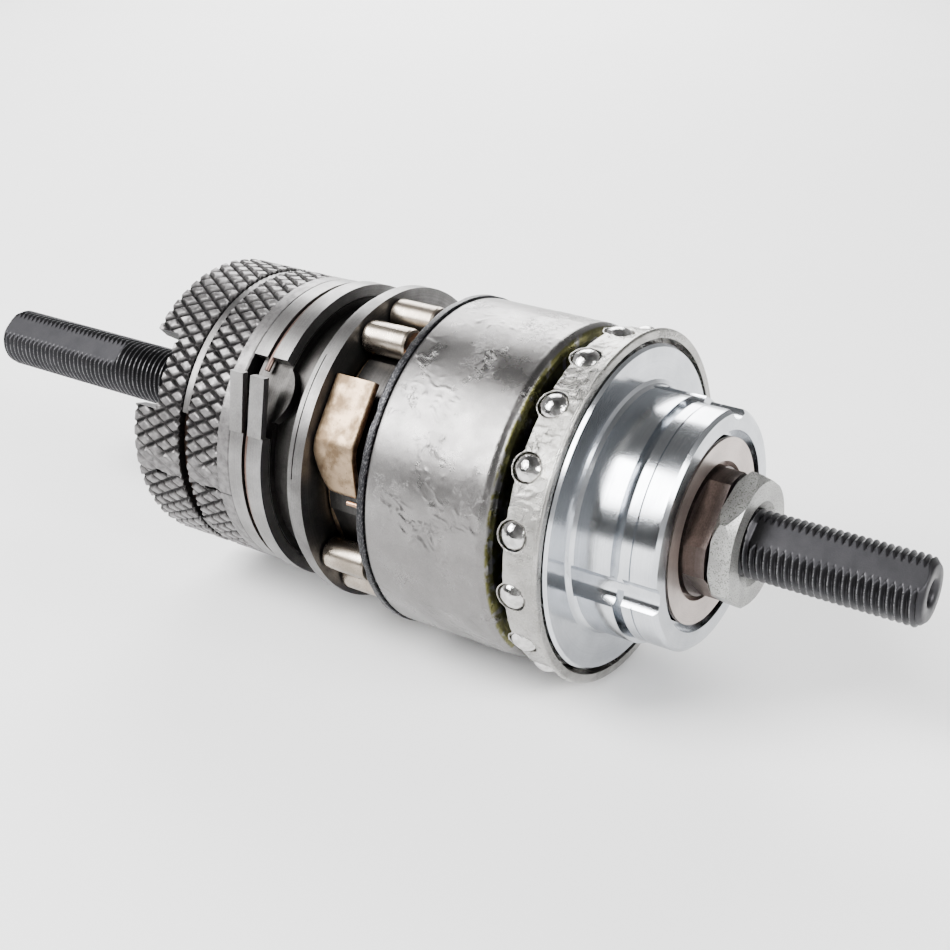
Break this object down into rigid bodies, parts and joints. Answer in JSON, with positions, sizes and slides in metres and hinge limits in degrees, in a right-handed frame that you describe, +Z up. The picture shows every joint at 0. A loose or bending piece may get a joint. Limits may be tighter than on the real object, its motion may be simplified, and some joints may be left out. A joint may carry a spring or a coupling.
{
  "type": "bicycle hub gear",
  "caption": "Internal gear unit of a bicycle hub: axle, sprocket driver, planetary gears, roller clutch and expanding brake shoes, without its hub shell.",
  "frame": {"origin": "on the axle's centre line, at the outer face of the drive-side locknut", "axes": "+Y along the axle from the drive side to the brake side, +Z up, +X across"},
  "size_m": [0.0506, 0.1649, 0.0506],
  "materials": {
    "black_steel": "black oxide, oiled",
    "satin_steel": "satin, ground",
    "zinc": "zinc plated, speckled",
    "bright_steel": "bright",
    "dark_steel": "dark, hardened",
    "brown_steel": "dark brown, oiled",
    "bronze": "dull bronze",
    "copper": "copper plated wire",
    "cap_steel": "dull beige plating"
  },
  "bodies": {
    "axle_group": {"axle": "black_steel", "sun_gear": "satin_steel", "clutch_spring": "bright_steel", "drive_cone": "brown_steel", "drive_dust_cap": "cap_steel", "cone_washer": "dark_steel", "drive_locknut": "zinc", "stop_washer": "dark_steel", "stop_nut": "black_steel", "friction_ring_drive": "satin_steel", "friction_ring_brake": "satin_steel", "friction_wire": "copper", "shoe_spring": "brown_steel"},
    "key": {"shift_key": "bright_steel"},
    "clutch": {"sliding_clutch": "satin_steel"},
    "driver_body": {"driver": "bright_steel"},
    "cone_bearing": {"cone_balls": "bright_steel"},
    "drive_bearing": {"drive_ball_retainer": "satin_steel", "drive_balls": "bright_steel"},
    "ring": {"ring_gear": "satin_steel", "ring_gear_cover": "dark_steel"},
    "carrier": {"planet_carrier": "satin_steel", "planet_pins": "bright_steel", "roller_cam": "dark_steel", "cam_flange": "satin_steel"},
    "planet_1": {"planet_gear_1": "satin_steel"},
    "planet_2": {"planet_gear_2": "satin_steel"},
    "planet_3": {"planet_gear_3": "satin_steel"},
    "planet_4": {"planet_gear_4": "satin_steel"},
    "cage": {"roller_cage": "bronze", "cage_spring": "copper"},
    "clutch_roller_1": {"roller_1": "bright_steel"},
    "clutch_roller_2": {"roller_2": "bright_steel"},
    "clutch_roller_3": {"roller_3": "bright_steel"},
    "clutch_roller_4": {"roller_4": "bright_steel"},
    "clutch_roller_5": {"roller_5": "bright_steel"},
    "clutch_roller_6": {"roller_6": "bright_steel"},
    "brake_cone_body": {"brake_cone": "dark_steel"},
    "shoe_1": {"brake_shoe_1": "dark_steel"},
    "shoe_2": {"brake_shoe_2": "dark_steel"},
    "shoe_3": {"brake_shoe_3": "dark_steel"}
  },
  "joints": [
    {"name": "driver_spin", "type": "hinge", "parent": "axle_group", "child": "driver_body", "pos_m": [0, 0, 0], "axis": [0, 1, 0], "continuous": true},
    {"name": "ring_spin", "type": "hinge", "parent": "axle_group", "child": "ring", "pos_m": [0, 0, 0], "axis": [0, 1, 0], "continuous": true},
    {"name": "carrier_spin", "type": "hinge", "parent": "axle_group", "child": "carrier", "pos_m": [0, 0, 0], "axis": [0, 1, 0], "continuous": true},
    {"name": "planet_1_spin", "type": "hinge", "parent": "carrier", "child": "planet_1", "pos_m": [0.0135, 0.04, 0], "axis": [0, 1, 0], "continuous": true},
    {"name": "planet_2_spin", "type": "hinge", "parent": "carrier", "child": "planet_2", "pos_m": [0, 0.04, 0.0135], "axis": [0, 1, 0], "continuous": true},
    {"name": "planet_3_spin", "type": "hinge", "parent": "carrier", "child": "planet_3", "pos_m": [-0.0135, 0.04, 0], "axis": [0, 1, 0], "continuous": true},
    {"name": "planet_4_spin", "type": "hinge", "parent": "carrier", "child": "planet_4", "pos_m": [0, 0.04, -0.0135], "axis": [0, 1, 0], "continuous": true},
    {"name": "cone_bearing_spin", "type": "hinge", "parent": "axle_group", "child": "cone_bearing", "pos_m": [0, 0, 0], "axis": [0, 1, 0], "continuous": true},
    {"name": "drive_bearing_spin", "type": "hinge", "parent": "axle_group", "child": "drive_bearing", "pos_m": [0, 0, 0], "axis": [0, 1, 0], "continuous": true},
    {"name": "key_slide", "type": "slide", "parent": "axle_group", "child": "key", "axis": [0, 1, 0], "range_m": [-0.003, 0]},
    {"name": "clutch_slide", "type": "slide", "parent": "driver_body", "child": "clutch", "axis": [0, 1, 0], "range_m": [-0.003, 0]},
    {"name": "cage_turn", "type": "hinge", "parent": "carrier", "child": "cage", "pos_m": [0, 0.055, 0], "axis": [0, -1, 0], "range_deg": [0, 4]},
    {"name": "roller_1_lift", "type": "slide", "parent": "cage", "child": "clutch_roller_1", "axis": [-0.0087, 0, 1], "range_m": [0, 0.00024]},
    {"name": "roller_2_lift", "type": "slide", "parent": "cage", "child": "clutch_roller_2", "axis": [-0.3338, 0, 0.9426], "range_m": [0, 0.00024]},
    {"name": "roller_3_lift", "type": "slide", "parent": "cage", "child": "clutch_roller_3", "axis": [-0.8616, 0, -0.5075], "range_m": [0, 0.00024]},
    {"name": "roller_4_lift", "type": "slide", "parent": "cage", "child": "clutch_roller_4", "axis": [-0.6494, 0, -0.7604], "range_m": [0, 0.00024]},
    {"name": "roller_5_lift", "type": "slide", "parent": "cage", "child": "clutch_roller_5", "axis": [0.8704, 0, -0.4924], "range_m": [0, 0.00024]},
    {"name": "roller_6_lift", "type": "slide", "parent": "cage", "child": "clutch_roller_6", "axis": [0.9833, 0, -0.1822], "range_m": [0, 0.00024]},
    {"name": "brake_cone_travel", "type": "slide", "parent": "axle_group", "child": "brake_cone_body", "axis": [0, 1, 0], "range_m": [0, 0.001]},
    {"name": "shoe_1_spread", "type": "slide", "parent": "axle_group", "child": "shoe_1", "axis": [-0.6428, 0, 0.766], "range_m": [0, 0.00042]},
    {"name": "shoe_2_spread", "type": "slide", "parent": "axle_group", "child": "shoe_2", "axis": [-0.342, 0, -0.9397], "range_m": [0, 0.00042]},
    {"name": "shoe_3_spread", "type": "slide", "parent": "axle_group", "child": "shoe_3", "axis": [0.9848, 0, 0.1736], "range_m": [0, 0.00042]}
  ],
  "couplings": [
    {"joint": "ring_spin", "follows": "driver_spin", "ratio": 1},
    {"joint": "carrier_spin", "follows": "driver_spin", "ratio": 0.73333},
    {"joint": "planet_1_spin", "follows": "driver_spin", "ratio": 0.8381},
    {"joint": "planet_2_spin", "follows": "driver_spin", "ratio": 0.8381},
    {"joint": "planet_3_spin", "follows": "driver_spin", "ratio": 0.8381},
    {"joint": "planet_4_spin", "follows": "driver_spin", "ratio": 0.8381},
    {"joint": "clutch_slide", "follows": "key_slide", "ratio": 1},
    {"joint": "roller_1_lift", "follows": "cage_turn", "m_per_rad": 0.00328},
    {"joint": "roller_2_lift", "follows": "cage_turn", "m_per_rad": 0.00328},
    {"joint": "roller_3_lift", "follows": "cage_turn", "m_per_rad": 0.00328},
    {"joint": "roller_4_lift", "follows": "cage_turn", "m_per_rad": 0.00328},
    {"joint": "roller_5_lift", "follows": "cage_turn", "m_per_rad": 0.00328},
    {"joint": "roller_6_lift", "follows": "cage_turn", "m_per_rad": 0.00328},
    {"joint": "shoe_1_spread", "follows": "brake_cone_travel", "ratio": 0.414},
    {"joint": "shoe_2_spread", "follows": "brake_cone_travel", "ratio": 0.414},
    {"joint": "shoe_3_spread", "follows": "brake_cone_travel", "ratio": 0.414}
  ]
}
